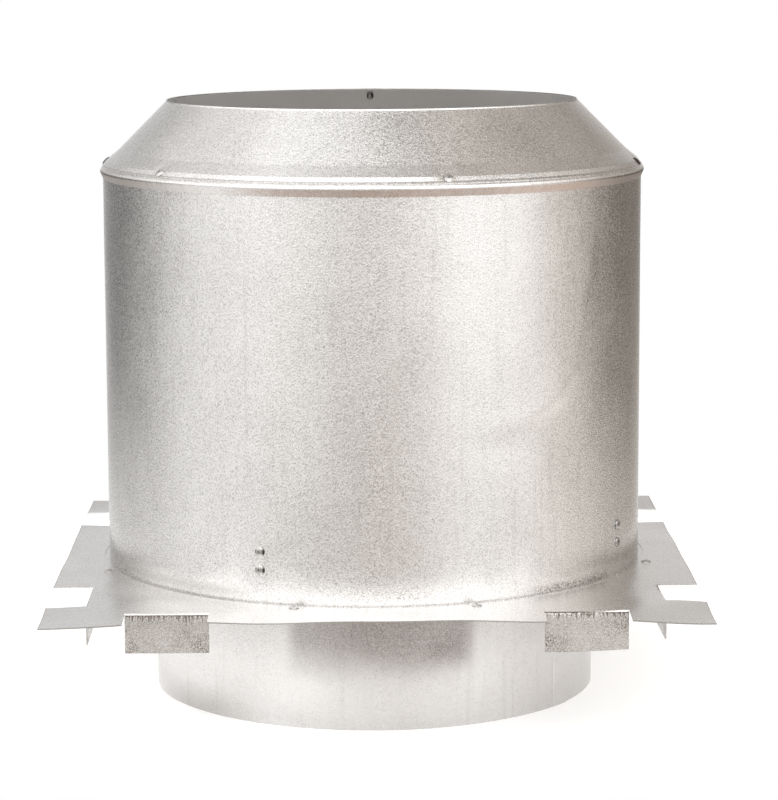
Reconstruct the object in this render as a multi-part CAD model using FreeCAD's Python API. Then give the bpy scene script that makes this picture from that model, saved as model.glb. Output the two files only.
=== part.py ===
"""Attic shield for a round chimney pipe, rolled and folded from galvanised sheet.

A cylindrical shell stands on a flat ring. A conical collar closes the shell's top
down to the pipe, and a narrower sleeve hangs under the ring. A square plate with
tabs is riveted to the ring and carries the whole between two joists.

Millimetres, +Z up. The origin is on the axis, level with the sleeve's lower rim.
Azimuths are in degrees from the front (-Y), positive towards the right (+X).
"""
import FreeCAD
import Part

import math
import os

from FreeCAD import Vector

# Sheet thicknesses, and the gap left between curved faces that seat on each other
sheet = 0.6
bracket_sheet = 1.0
seat_gap = 0.02

# Shell: a 14 inch cylinder with a bead and an inward lip at its top
shell_radius = 177.8
bead_rise = 5.4
bead_proud = 2.3
bead_foot_bend = 1.6
bead_nose_bend = 2.6
lip_length = 10.4

# Collar: a cone down to the opening for a 10 inch pipe, 12 inches above the plate
opening_radius = 134.9
shield_height = 304.8
cone_angle = 45.0
joggle_lead = 0.8
joggle_run = 2.4
joggle_bend = 3.0
margin_setback = 1.2

# Sleeve under the ring
sleeve_radius = 146.5
sleeve_height = 85.4
sleeve_bend = 1.6
flange_gap = 4.2

# Joist plate: a square with a round hole, flat tabs and tabs folded down.
# The hole is round the shell's axis, and the square's centre lies in front of it.
plate_hole_gap = 3.8
plate_forward = 11.6
fold_gap = 2.7
fold_bend = 1.4
tab_depth = 25.0
tab_width = 51.6
wide_tab_width = 206.0

# Angle brackets that hold the shell on the ring
bracket_sides = ("front", "right", "back", "left")
bracket_azimuths = (-24.0, 62.0, 156.0, 246.0)
bracket_width = 19.0
bracket_height = 41.0
bracket_bend = 1.8
bracket_seat_gap = 0.2
bracket_foot_gap = 7.3
bracket_rivet_edge = 8.0
bracket_rivet_pitch = 11.5

# Lap seams
lap_width = 14.0
collar_seam_azimuth = 180.0
shell_seam_azimuth = 200.0
sleeve_seam_azimuth = 55.0
seam_rivet_edge = 5.8

# Blind rivets, one size throughout
rivet_radius = 1.6
rivet_hole_gap = 0.05
rivet_head_radius = 3.2
rivet_head_rim = 0.35
rivet_head_height = 1.15
rivet_dome_bulge = 0.2
rivet_bore_radius = 0.9
rivet_bore_depth = 0.6
rivet_tail_radius = 2.3
rivet_tail_length = 3.0
rivet_tail_round = 0.7
plate_rivet_edge = 3.8
ring_rivet_edge = 5.1
collar_rivet_azimuths = (-89.0, -49.4, 14.7, 79.0, 136.0, 211.0)
plate_rivet_azimuths = (-16.0, 19.5, 75.6, 108.0, 161.0, 197.0, 248.0, 290.4)

# Levels, from the floor up
ring_bottom = sleeve_height
ring_top = ring_bottom + sheet
plate_top = ring_top + sheet
rim_height = ring_top + shield_height

# Bead, lip and cone: their slope starts from the bead's corner
slope = math.radians(cone_angle)
bead_radius = shell_radius + bead_proud
bead_height = rim_height - (bead_radius - opening_radius) * math.tan(slope)
nose_turn = math.pi - slope - math.atan2(bead_rise, bead_proud)
margin_start = bead_nose_bend * math.tan(nose_turn / 2) + margin_setback
joggle_foot = lip_length + joggle_lead
joggle_head = joggle_foot + joggle_run
collar_lap_start = joggle_head + joggle_bend
rim_distance = (bead_radius - opening_radius) / math.cos(slope)

# Radii and lines on the plate, the ring and the bracket feet
shell_inside = shell_radius - sheet
passage_radius = sleeve_radius - sheet
plate_hole_radius = shell_radius + plate_hole_gap
plate_rivet_circle = plate_hole_radius + plate_rivet_edge
ring_radius = plate_rivet_circle + ring_rivet_edge
bracket_back = shell_inside - bracket_seat_gap
bracket_foot_end = passage_radius + bracket_foot_gap
foot_rivet_circle = (bracket_foot_end + bracket_back - bracket_bend) / 2
flange_radius = foot_rivet_circle - rivet_tail_radius - flange_gap
fold_line = shell_radius + fold_gap
fold_root = fold_line - 2 * fold_bend
plate_edge = fold_line + tab_depth

AXIS = Vector(0, 0, 1)
ORIGIN = Vector(0, 0, 0)
SECTION_NORMAL = Vector(0, 1, 0)
PLATE_CENTRE = Vector(0, -plate_forward, 0)


def radial(azimuth):
    """Unit vector from the axis towards an azimuth."""
    turn = math.radians(azimuth)
    return Vector(math.sin(turn), -math.cos(turn), 0)


def on_slope(distance, lift=0.0):
    """Radius and height of a point up the slope from the bead's corner, lifted off it."""
    across = bead_radius - distance * math.cos(slope) + lift * math.sin(slope)
    up = bead_height + distance * math.sin(slope) + lift * math.cos(slope)
    return across, up


def slope_normal(azimuth):
    """Outward normal of the cone at an azimuth."""
    return radial(azimuth) * math.sin(slope) + AXIS * math.cos(slope)


def unit(start, end):
    """Unit vector from one point to another."""
    return (end - start).normalize()


def left_of(start, end):
    """Unit vector to the left of the way from one point of a section to another."""
    return unit(start, end).cross(SECTION_NORMAL)


def line(start, end):
    """Straight edge."""
    return Part.LineSegment(start, end).toShape()


def bent_edges(points, bends):
    """Edges along points in the XZ plane, with a tangent arc at each inner point."""
    edges = []
    start = points[0]
    for before, corner, after, bend in zip(points, points[1:], points[2:], bends):
        back = unit(corner, before)
        ahead = unit(corner, after)
        half_angle = back.getAngle(ahead) / 2
        trim = bend / math.tan(half_angle)
        depth = bend / math.sin(half_angle) - bend
        middle = corner + (back + ahead).normalize() * depth
        edges.append(line(start, corner + back * trim))
        edges.append(Part.Arc(corner + back * trim, middle, corner + ahead * trim).toShape())
        start = corner + ahead * trim
    edges.append(line(start, points[-1]))
    return edges


def sheet_section(corners, thickness, bends=()):
    """Section of a bent sheet. The corners and bend radii are those of one face, and the
    metal lies on the left of that face, or on its right where the thickness is negative."""
    near = [Vector(across, 0, up) for across, up in corners]
    lefts = [left_of(start, end) for start, end in zip(near, near[1:])]
    befores = lefts[:1] + lefts
    afters = lefts + lefts[-1:]
    far = []
    for corner, before, after in zip(near, befores, afters):
        far.append(corner + (before + after) * (thickness / (1 + before.dot(after))))
    far_bends = []
    for bend, before, after in zip(bends, lefts, lefts[1:]):
        turns_left = before.cross(after).y < 0
        far_bends.append(bend - thickness if turns_left else bend + thickness)
    outline = bent_edges(near, bends) + bent_edges(far, far_bends)
    outline += [line(near[0], far[0]), line(near[-1], far[-1])]
    return Part.Face(Part.Wire(Part.__sortEdges__(outline)))


def turned(section):
    """Solid of revolution of a section about the axis."""
    return section.revolve(ORIGIN, AXIS, 360)


def turned_strip(section, azimuth, width, radius):
    """Part of a revolution, as wide as said along the arc of a radius, centred on an azimuth."""
    angle = math.degrees(width / radius)
    strip = section.revolve(ORIGIN, AXIS, angle)
    strip.rotate(ORIGIN, AXIS, azimuth - 90 - angle / 2)
    return strip


def rivet(seat, outward, grip):
    """Set blind rivet: domed head with the mandrel's bore, shank and upset tail."""
    head_foot = seat_gap
    head_edge = head_foot + rivet_head_rim
    head_top = head_foot + rivet_head_height
    bore_floor = head_top - rivet_bore_depth
    tail_top = -grip - seat_gap
    tail_bottom = tail_top - rivet_tail_length
    bore_edge = Vector(rivet_bore_radius, 0, head_top)
    head_rim = Vector(rivet_head_radius, 0, head_edge)
    dome_top = (bore_edge + head_rim) / 2 + left_of(bore_edge, head_rim) * rivet_dome_bulge
    dome = Part.Arc(bore_edge, dome_top, head_rim).toShape()
    below = [
        head_rim,
        Vector(rivet_head_radius, 0, head_foot),
        Vector(rivet_radius, 0, head_foot),
        Vector(rivet_radius, 0, tail_top),
        Vector(rivet_tail_radius, 0, tail_top),
        Vector(rivet_tail_radius, 0, tail_bottom + rivet_tail_round),
        Vector(rivet_tail_radius - rivet_tail_round, 0, tail_bottom),
        Vector(0, 0, tail_bottom),
        Vector(0, 0, bore_floor),
        Vector(rivet_bore_radius, 0, bore_floor),
        bore_edge,
    ]
    edges = [dome] + [line(start, end) for start, end in zip(below, below[1:])]
    solid = turned(Part.Face(Part.Wire(edges)))
    solid.Placement = FreeCAD.Placement(seat, FreeCAD.Rotation(AXIS, outward))
    return solid


def rivet_hole(seat, outward, grip):
    """Drill for one rivet, through everything that it grips."""
    over_travel = 2 * sheet
    start = seat + outward * over_travel
    return Part.makeCylinder(rivet_radius + rivet_hole_gap, grip + 2 * over_travel, start, -outward)


def margin_rivet_places():
    """Rivets through the collar's margin and the shell's lip."""
    across, up = on_slope((margin_start + lip_length) / 2, sheet)
    places = []
    for azimuth in collar_rivet_azimuths:
        seat = radial(azimuth) * across + AXIS * up
        places.append((seat, slope_normal(azimuth), 2 * sheet))
    return places


def seam_rivet_places():
    """Rivets near both ends of the collar's lap seam."""
    places = []
    for distance in (collar_lap_start + seam_rivet_edge, rim_distance - seam_rivet_edge):
        across, up = on_slope(distance, sheet)
        seat = radial(collar_seam_azimuth) * across + AXIS * up
        places.append((seat, slope_normal(collar_seam_azimuth), 2 * sheet))
    return places


def wall_rivet_places():
    """Pairs of rivets through the shell and the upright leg of each bracket."""
    upper = ring_top + bracket_height - bracket_rivet_edge
    places = []
    for azimuth in bracket_azimuths:
        for height in (upper, upper - bracket_rivet_pitch):
            seat = radial(azimuth) * shell_radius + AXIS * height
            places.append((seat, radial(azimuth), sheet + bracket_seat_gap + bracket_sheet))
    return places


def foot_rivet_places():
    """One rivet through the foot of each bracket and the ring."""
    places = []
    for azimuth in bracket_azimuths:
        seat = radial(azimuth) * foot_rivet_circle + AXIS * (ring_top + bracket_sheet)
        places.append((seat, AXIS, bracket_sheet + sheet))
    return places


def plate_rivet_places():
    """Rivets through the joist plate and the ring, just outside the shell."""
    places = []
    for azimuth in plate_rivet_azimuths:
        seat = radial(azimuth) * plate_rivet_circle + AXIS * plate_top
        places.append((seat, AXIS, 2 * sheet))
    return places


def drilled(solid, *place_lists):
    """Solid with the rivet holes of all given places cut through it."""
    holes = [rivet_hole(*place) for places in place_lists for place in places]
    return solid.cut(holes)


def top_collar():
    """Cone with a joggled margin that laps over the shell's lip, and a lap seam at the back."""
    rim = on_slope(rim_distance)
    outer_face = [
        on_slope(margin_start, sheet),
        on_slope(joggle_foot, sheet),
        on_slope(joggle_head),
        rim,
    ]
    body = turned(sheet_section(outer_face, sheet, (joggle_bend, joggle_bend)))
    lap_section = sheet_section([on_slope(collar_lap_start), rim], -sheet)
    lap = turned_strip(lap_section, collar_seam_azimuth, lap_width, opening_radius)
    return drilled(body.fuse(lap), margin_rivet_places(), seam_rivet_places())


def shield_shell():
    """Rolled cylinder with its bead, its inward lip and a lap seam at the back."""
    foot = (shell_radius, ring_top)
    bead_foot = (shell_radius, bead_height - bead_rise)
    bead_corner = (bead_radius, bead_height)
    outer_face = [foot, bead_foot, bead_corner, on_slope(lip_length)]
    body = turned(sheet_section(outer_face, sheet, (bead_foot_bend, bead_nose_bend)))
    lap_top = (shell_radius, bead_height - bead_rise - 2 * bead_foot_bend)
    lap = turned_strip(sheet_section([foot, lap_top], -sheet), shell_seam_azimuth, lap_width, shell_radius)
    return drilled(body.fuse(lap), margin_rivet_places(), wall_rivet_places())


def sleeve_ring():
    """Flat ring on which the shell stands and under which the sleeve hangs."""
    outer = Part.makeCylinder(ring_radius, sheet, AXIS * ring_bottom)
    inner = Part.makeCylinder(passage_radius, sheet, AXIS * ring_bottom)
    return drilled(outer.cut(inner), plate_rivet_places(), foot_rivet_places())


def lower_sleeve():
    """Rolled sleeve with an outward flange under the ring and a lap seam."""
    inner_face = [(flange_radius, ring_bottom), (passage_radius, ring_bottom), (passage_radius, 0)]
    body = turned(sheet_section(inner_face, sheet, (sleeve_bend + sheet,)))
    lap_top = ring_bottom - sheet - 2 * sleeve_bend
    lap_section = sheet_section([(sleeve_radius, 0), (sleeve_radius, lap_top)], -sheet)
    lap = turned_strip(lap_section, sleeve_seam_azimuth, lap_width, sleeve_radius)
    return body.fuse(lap)


def plate_outline():
    """Square outline of the joist plate, notched where tabs are folded down."""
    inner = wide_tab_width / 2
    outer = inner + tab_width
    side = [
        (-plate_edge, -plate_edge), (-outer, -plate_edge), (-outer, -fold_root),
        (-inner, -fold_root), (-inner, -plate_edge), (inner, -plate_edge),
        (inner, -fold_root), (outer, -fold_root), (outer, -plate_edge),
    ]
    points = []
    for quarter in range(4):
        turn = FreeCAD.Rotation(AXIS, 90 * quarter)
        points += [turn.multVec(Vector(x, y, ring_top)) + PLATE_CENTRE for x, y in side]
    return Part.makePolygon(points + points[:1])


def folded_tab():
    """One tab folded down along the front, to the right of the wide tab."""
    upper_face = [(fold_root, plate_top), (fold_line, plate_top), (fold_line, plate_top - tab_depth)]
    tab = sheet_section(upper_face, -sheet, (fold_bend,)).extrude(Vector(0, tab_width, 0))
    tab.rotate(ORIGIN, AXIS, -90)
    tab.translate(Vector(wide_tab_width / 2, 0, 0))
    return tab


def base_plate():
    """Square joist plate: round hole, four wide tabs, four corners and eight folded tabs."""
    flat = Part.Face(plate_outline()).extrude(AXIS * sheet)
    hole = Part.makeCylinder(plate_hole_radius, sheet, AXIS * ring_top)
    right_tab = folded_tab()
    left_tab = right_tab.mirror(ORIGIN, Vector(1, 0, 0))
    tabs = []
    for quarter in range(4):
        for tab in (left_tab, right_tab):
            turned_tab = tab.copy()
            turned_tab.rotate(ORIGIN, AXIS, 90 * quarter)
            turned_tab.translate(PLATE_CENTRE)
            tabs.append(turned_tab)
    return drilled(flat.cut(hole).fuse(tabs).removeSplitter(), plate_rivet_places())


def bracket(azimuth):
    """Angle bracket, curved to the inside of the shell, with its foot on the ring."""
    outer_face = [
        (bracket_foot_end, ring_top),
        (bracket_back, ring_top),
        (bracket_back, ring_top + bracket_height),
    ]
    section = sheet_section(outer_face, bracket_sheet, (bracket_bend,))
    solid = turned_strip(section, azimuth, bracket_width, bracket_back)
    return drilled(solid, wall_rivet_places(), foot_rivet_places())


def rivet_group(places):
    """Like rivets as one group of separate solids."""
    return Part.makeCompound([rivet(*place) for place in places])


def nodes():
    """Every separate piece by its name."""
    pieces = {
        "top_collar": top_collar(),
        "shield_shell": shield_shell(),
        "sleeve_ring": sleeve_ring(),
        "lower_sleeve": lower_sleeve(),
        "base_plate": base_plate(),
        "collar_rivets": rivet_group(margin_rivet_places()),
        "collar_seam_rivets": rivet_group(seam_rivet_places()),
        "bracket_wall_rivets": rivet_group(wall_rivet_places()),
        "bracket_foot_rivets": rivet_group(foot_rivet_places()),
        "plate_rivets": rivet_group(plate_rivet_places()),
    }
    for side, azimuth in zip(bracket_sides, bracket_azimuths):
        pieces[side + "_bracket"] = bracket(azimuth)
    return pieces


os.makedirs("parts", exist_ok=True)
for name, shape in nodes().items():
    shape.exportStep("parts/" + name + ".step")
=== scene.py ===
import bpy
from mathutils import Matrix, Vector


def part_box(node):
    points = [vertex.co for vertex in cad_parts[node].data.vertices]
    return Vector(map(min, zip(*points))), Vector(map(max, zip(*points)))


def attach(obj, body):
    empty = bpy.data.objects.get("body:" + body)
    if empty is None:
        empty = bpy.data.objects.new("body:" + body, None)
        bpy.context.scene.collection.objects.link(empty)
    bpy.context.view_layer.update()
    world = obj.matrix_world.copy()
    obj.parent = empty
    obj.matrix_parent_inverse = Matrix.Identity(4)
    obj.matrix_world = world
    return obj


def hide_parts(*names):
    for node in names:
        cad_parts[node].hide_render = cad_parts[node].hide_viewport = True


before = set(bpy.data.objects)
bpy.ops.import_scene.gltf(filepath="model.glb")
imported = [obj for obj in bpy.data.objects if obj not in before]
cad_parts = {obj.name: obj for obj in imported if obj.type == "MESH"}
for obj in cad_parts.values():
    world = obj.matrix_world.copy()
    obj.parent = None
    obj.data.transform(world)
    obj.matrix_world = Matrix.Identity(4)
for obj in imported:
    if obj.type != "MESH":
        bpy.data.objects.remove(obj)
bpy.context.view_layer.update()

# Attic shield for a round chimney pipe, in galvanised sheet: its sheets with their dents,
# folds and spangle, its rivets and brackets, and the studio that it stands in.
# Metres, +Z up, in the frame of the CAD model. Azimuths run from the front (-Y) to the right.
import math

import bmesh
import bpy
import numpy as np
from bpy.props import FloatProperty, FloatVectorProperty, PointerProperty
from mathutils import Matrix, Vector

bl_info = {
    "name": "Attic Shield",
    "version": (1, 0, 0),
    "blender": (4, 5, 0),
    "location": "View3D > Sidebar > Attic Shield",
    "description": "Builds a galvanised attic shield for a chimney pipe and its studio",
    "category": "Object",
}

BODY = "root"
RING_BOTTOM, RING_TOP = (corner[2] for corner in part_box("sleeve_ring"))
PLATE_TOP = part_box("base_plate")[1][2]
# Creases of the shell: share of the dent's height, places up the shell from 0 to 1 with the
# crest's azimuths there in degrees, and the places between which it comes and goes
CREASES = (
    (1.0, (0.40, 0.44, 0.48, 0.54, 0.73, 0.80, 1.0), (26, 32.4, 39.4, 43.9, 48, 49.7, 52),
     (0.38, 0.47, 0.76, 0.95)),
    (0.35, (0.0, 1.0), (33, 33), (0.08, 0.16, 0.30, 0.40)),
)
# Degrees in which a crease falls off to its right and to its left
CREASE_RIGHT, CREASE_LEFT = 3.0, 10.0
# Azimuths of the rivets in the collar's margin, in degrees
COLLAR_RIVETS = (-89.0, -49.4, 14.7, 79.0, 136.0, 211.0)
# Distances from the axis between which the plate comes free of its rivets, and mean distances
# from its middle lines between which its corners bend down
PLATE_FREE = (0.193, 0.212)
CORNER_BEND = (0.165, 0.206)
# Longest edges along a rolled sheet's profile and across the plate, and the step of a lap seam
PROFILE_STEP = 0.004
PLATE_STEP = 0.005
LAP_STEP = 0.001
# Patches of grime, and a lobe of painted reflection on the sleeve: azimuth and half width in degrees,
# height over the foot and half height
FOOT_SMEAR = (46.0, 15.0, 0.0034, 0.0046)
FOOT_SPECKS = (2.0, 10.0, 0.0070, 0.0060)
REFLECTION_LOBE = (18.0, 7.0, 0.050, 0.016)
SEAM_DIRT = (57.0, 6.0, 0.045, 0.018)
# The floor's rings as shares of its radius, and its number of sides
FLOOR_RINGS = (1.0, 0.6, 0.3, 0.02)
FLOOR_SIDES = 96


def length(name, about, value):
    """Property for a length in metres."""
    return FloatProperty(name=name, description=about, default=value, subtype="DISTANCE",
                         unit="LENGTH", precision=5)


def angle(name, about, degrees):
    """Property for an angle, with its default in degrees."""
    return FloatProperty(name=name, description=about, default=math.radians(degrees), subtype="ANGLE")


def share(name, about, value):
    """Property for a plain number from 0 upwards."""
    return FloatProperty(name=name, description=about, default=value, min=0.0)


def colour(name, about, value):
    """Property for a linear colour."""
    return FloatVectorProperty(name=name, description=about, default=value, subtype="COLOR", size=3,
                               min=0.0, max=1.0)


def position(name, about, value):
    """Property for a place in metres."""
    return FloatVectorProperty(name=name, description=about, default=value, subtype="TRANSLATION",
                               unit="LENGTH")


class ShieldSizes(bpy.types.PropertyGroup):
    """Sizes of the sheets, as they were cut, rolled and folded."""
    sheet: length("Sheet", "Thickness of the sheet", 0.0006)
    shell_radius: length("Shell radius", "Outside radius of the shell", 0.1778)
    bead_rise: length("Bead rise", "Height of the bead's lower slope", 0.0054)
    bead_proud: length("Bead proud", "How far the bead stands out of the shell", 0.0023)
    bead_foot_bend: length("Bead foot bend", "Bend radius under the bead", 0.0016)
    bead_nose_bend: length("Bead nose bend", "Bend radius of the bead's nose", 0.0026)
    lip_length: length("Lip length", "Shell's inward lip, along the slope", 0.0104)
    opening_radius: length("Opening radius", "Radius of the collar's opening", 0.1349)
    shield_height: length("Shield height", "Height of the collar's rim above the ring", 0.3048)
    cone_angle: angle("Cone angle", "Slope of the collar", 45.0)
    margin_setback: length("Margin setback", "Gap from the bead's bend to the collar's edge", 0.0012)
    joggle_bend: length("Joggle bend", "Bend radii of the joggle", 0.003)
    ridge_foot: length("Ridge foot", "From the bead's corner to the ridge in the collar's margin", 0.0044)
    ridge_crest: length("Ridge crest", "From the bead's corner to the ridge's crest", 0.0078)
    ridge_rise: length("Ridge rise", "How far the ridge stands up between the rivets", 0.00046)
    ridge_bend: length("Ridge bend", "Bend radius at the ridge's foot", 0.0012)
    rivet_flat: angle("Rivet flat", "Half width of the flat place round each rivet", 1.9)
    joggle_foot: length("Joggle foot", "From the bead's corner to the joggle's inner end", 0.0180)
    rim_roll: length("Rim roll", "Width of the collar's turned-up rim", 0.0012)
    rim_bend: length("Rim bend", "Bend radius of that rim", 0.0006)
    rim_lean: share("Rim lean", "Share of its width by which the rim leans inwards", 0.55)
    sleeve_radius: length("Sleeve radius", "Outside radius of the sleeve", 0.1465)
    sleeve_bend: length("Sleeve bend", "Bend radius under the sleeve's flange", 0.0016)
    flange_radius: length("Flange radius", "Outside radius of the sleeve's flange", 0.1576)
    lap_width: length("Lap width", "Width of the lap seams", 0.014)
    collar_seam: angle("Collar seam", "Azimuth of the collar's lap seam", 180.0)
    shell_seam: angle("Shell seam", "Azimuth of the shell's lap seam", 200.0)
    sleeve_seam: angle("Sleeve seam", "Azimuth of the sleeve's lap seam", 55.0)
    hole_radius: length("Hole radius", "Radius of the hole in the joist plate", 0.1816)
    plate_forward: length("Plate forward", "How far the plate's centre lies before the axis", 0.0116)
    plate_half: length("Plate half width", "From the plate's centre to its flat edges", 0.2055)
    fold_line: length("Fold line", "From the plate's centre to the folded tabs", 0.1805)
    fold_bend: length("Fold bend", "Bend radius of the folded tabs", 0.0014)
    tab_depth: length("Tab depth", "Depth of the folded tabs", 0.025)
    tab_width: length("Tab width", "Width of the folded tabs", 0.0516)
    wide_tab_width: length("Wide tab width", "Width of the flat wide tabs", 0.206)


class ShieldWear(bpy.types.PropertyGroup):
    """Handling marks in the sheets."""
    wave: length("Wave", "Depth of the slow waves in the rolled sheets", 0.00022)
    dent: length("Dent", "Height of the long crease on the shell's right", 0.0009)
    corner_droop: length("Corner droop", "How far the plate's front corners hang down", 0.003)
    edge_wave: length("Edge wave", "Waves of the plate's flat edges", 0.0007)


class ShieldFinish(bpy.types.PropertyGroup):
    """Colours and roughness of the metal."""
    zinc: colour("Zinc", "Galvanised sheet", (0.88, 0.872, 0.866))
    dark_zinc: colour("Dark zinc", "Dark grains of the galvanised sheet", (0.42, 0.41, 0.40))
    # Colour of dirt, also used for painted shade and painted dark reflections
    grime_and_shade: colour("Grime", "Dirt on the sheet", (0.16, 0.13, 0.11))
    # Zinc of the inner face: its darkness is painted shade, its dullness comes from roughness
    inside: colour("Inside", "Dull inside of the collar", (0.74, 0.73, 0.715))
    # Painted reflection: warm colour that the bead's underside would mirror from the floor
    bead_underside_reflection: colour("Oil", "Dried oil under the bead", (0.47, 0.32, 0.25))
    rivet_zinc: colour("Rivet zinc", "Plated rivets", (0.62, 0.61, 0.60))
    roughness: share("Roughness", "Roughness of the galvanised sheet", 0.25)
    grain: length("Grain", "Size of the zinc's grains", 0.00115)


class ShieldStudio(bpy.types.PropertyGroup):
    """Camera, lamps and floor."""
    camera_place: position("Camera", "Place of the camera", (-0.0170, -1.9767, 0.4901))
    camera_yaw: angle("Yaw", "Turn of the camera to the right of +Y", 0.799)
    camera_pitch: angle("Pitch", "Tilt of the camera above the horizon", -8.661)
    camera_roll: angle("Roll", "Roll of the camera", -0.2515)
    lens: share("Lens", "Focal length of the camera in millimetres", 134.05815)
    floor_radius: length("Floor radius", "Radius of the round floor", 0.47)
    floor_back: length("Floor back", "How far the floor's centre lies behind the axis", 0.15)
    floor_glow: share("Floor glow", "Light that the floor adds for the camera and the metal", 0.38)
    bounce_power: share("Bounce power", "Power of the light thrown up inside the shell, in watts", 0.10)
    bounce_width: length("Bounce width", "Width of the round lamp inside the sleeve", 0.28)
    bounce_height: length("Bounce height", "Height of the round lamp over the floor", 0.015)
    lamp_power: share("Lamp power", "Power of the large lamp overhead, in watts", 3.5)
    lamp_place: position("Lamp", "Place of the large lamp", (-0.5, -0.6, 1.9))
    lamp_aim: position("Lamp aim", "Place that the large lamp faces", (0.0, 0.0, 0.2))
    lamp_width: length("Lamp width", "Width of the large lamp", 1.6)
    lamp_depth: length("Lamp depth", "Depth of the large lamp", 1.2)


GROUPS = {
    "shield_sizes": ShieldSizes,
    "shield_wear": ShieldWear,
    "shield_finish": ShieldFinish,
    "shield_studio": ShieldStudio,
}


# Surfaces

def ruled(stops, step):
    """Stops with evenly spaced values between them, at most a step apart."""
    runs = []
    for low, high in zip(stops, stops[1:]):
        count = max(1, math.ceil((high - low) / step))
        runs.append(np.linspace(low, high, count + 1)[:-1])
    return np.concatenate(runs + [stops[-1:]])


def bent_path(corners, bends, step, arc_steps=6):
    """Points of a folded line and its left-hand normals. Each inner corner is replaced by a
    tangent arc of its bend radius, and straight runs are divided into steps."""
    corners = np.asarray(corners, float)
    ways = np.diff(corners, axis=0)
    headings = np.unwrap(np.arctan2(ways[:, 1], ways[:, 0]))
    points, turns = [], []
    start = corners[0]
    for index, bend in enumerate(bends):
        corner, heading, turn = corners[index + 1], headings[index], headings[index + 1] - headings[index]
        ahead = np.array([math.cos(heading), math.sin(heading)])
        left = np.array([-ahead[1], ahead[0]])
        foot = corner - ahead * bend * math.tan(abs(turn) / 2)
        centre = foot + left * math.copysign(bend, turn)
        straight = ruled(np.array([0.0, np.hypot(*(foot - start))]), step)
        points.append(start + straight[:, None] * ahead)
        turns.append(np.full(len(straight), heading))
        swept = heading + turn * np.linspace(0, 1, arc_steps + 1)[1:-1]
        spoke = np.stack([np.sin(swept), -np.cos(swept)], -1)
        points.append(centre + spoke * math.copysign(bend, turn))
        turns.append(swept)
        after = heading + turn
        start = centre + np.array([math.sin(after), -math.cos(after)]) * math.copysign(bend, turn)
    heading = headings[-1]
    straight = ruled(np.array([0.0, np.hypot(*(corners[-1] - start))]), step)
    points.append(start + straight[:, None] * np.array([math.cos(heading), math.sin(heading)]))
    turns.append(np.full(len(straight), heading))
    points, turns = np.concatenate(points), np.concatenate(turns)
    return points, np.stack([-np.sin(turns), np.cos(turns)], -1)


def grid_faces(rows, columns, closed_rows, closed_columns):
    """Corner numbers of the quads of a grid of points, wrapped round where it is closed."""
    row = np.arange(rows if closed_rows else rows - 1)[:, None]
    column = np.arange(columns if closed_columns else columns - 1)[None, :]
    next_row, next_column = (row + 1) % rows, (column + 1) % columns
    corners = (row * columns + column, row * columns + next_column,
               next_row * columns + next_column, next_row * columns + column)
    return np.stack(corners, -1).reshape(-1, 4)


def revolved_sheet(path, sheet, seam, lap_width, give, columns):
    """Closed skin of a rolled sheet. The outer face is the path carried round the axis, the
    inner face lies a sheet's thickness to its left, and a strip at the seam stands one sheet
    proud of the outer face. give is added to the radius."""
    points, normals = path
    radius = points[:, 0].mean()
    half_lap = lap_width / radius / 2
    azimuth = np.linspace(-math.pi, math.pi, columns, endpoint=False)
    step_angle = LAP_STEP / radius
    edges = seam + np.array([-half_lap - step_angle, -half_lap, half_lap, half_lap + step_angle])
    azimuth = np.sort(np.concatenate([azimuth, (edges + math.pi) % (2 * math.pi) - math.pi]))
    from_seam = (azimuth - seam + math.pi) % (2 * math.pi) - math.pi
    lap = np.where(np.abs(from_seam) <= half_lap + step_angle / 4, sheet, 0.0)
    outer = points[:, None, :] - normals[:, None, :] * lap[None, :, None]
    inner = np.repeat((points + normals * sheet)[::-1, None, :], len(azimuth), axis=1)
    section = np.concatenate([outer, inner])
    across = section[..., 0] + give(azimuth[None, :], section[..., 1])
    skin = np.stack([across * np.sin(azimuth), -across * np.cos(azimuth), section[..., 1]], -1)
    rows = len(section)
    return skin.reshape(-1, 3), grid_faces(rows, len(azimuth), True, True)


def fade(value, low, high):
    """Smooth step from 0 at low to 1 at high."""
    t = np.clip((value - low) / (high - low), 0.0, 1.0)
    return t * t * (3 - 2 * t)


def slope_place(sizes, distance, lift=0.0):
    """Radius and height of a point up the collar's slope from the bead's corner: the corner, plus
    the distance along the slope, plus the lift square to it."""
    slope = sizes.cone_angle
    bead_radius = sizes.shell_radius + sizes.bead_proud
    bead_height = (RING_TOP + sizes.shield_height
                   - (bead_radius - sizes.opening_radius) * math.tan(slope))
    return (bead_radius - distance * math.cos(slope) + lift * math.sin(slope),
            bead_height + distance * math.sin(slope) + lift * math.cos(slope))


def tab_places(sizes):
    """Distances from the plate's middle lines to a folded tab's near side, far side and root."""
    near = sizes.wide_tab_width / 2
    return near, near + sizes.tab_width, sizes.fold_line - 2 * sizes.fold_bend


def shell_give(wear, low, high):
    """Radial give of the shell: slow waves round it and up it, and two creases on the right. Each
    crease is a crest along a line of azimuths, falling off exponentially to both sides, faster
    on the right. All of it fades out towards the foot and, from 45 to 12 mm below it, the bead."""
    def give(azimuth, height):
        held = fade(height, low, low + 0.050) * (1 - fade(height, high - 0.045, high - 0.012))
        up = np.clip((height - low) / (high - low), 0.0, 1.0)
        wave = (np.sin(3 * azimuth + 0.6) + 0.6 * np.sin(7 * azimuth + 2.1 + 1.7 * up)
                + 0.5 * np.sin(11 * azimuth - 0.8 - 2.4 * up) * np.cos(2.2 * up))
        creased = 0.0
        for strength, ups, azimuths, ends in CREASES:
            away = np.degrees(azimuth) - np.interp(up, ups, azimuths)
            crest = np.exp(-np.abs(away) / np.where(away > 0, CREASE_RIGHT, CREASE_LEFT))
            creased = creased + strength * crest * fade(up, *ends[:2]) * (1 - fade(up, *ends[2:]))
        return held * (wear.wave * wave + wear.dent * creased)
    return give


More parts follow.
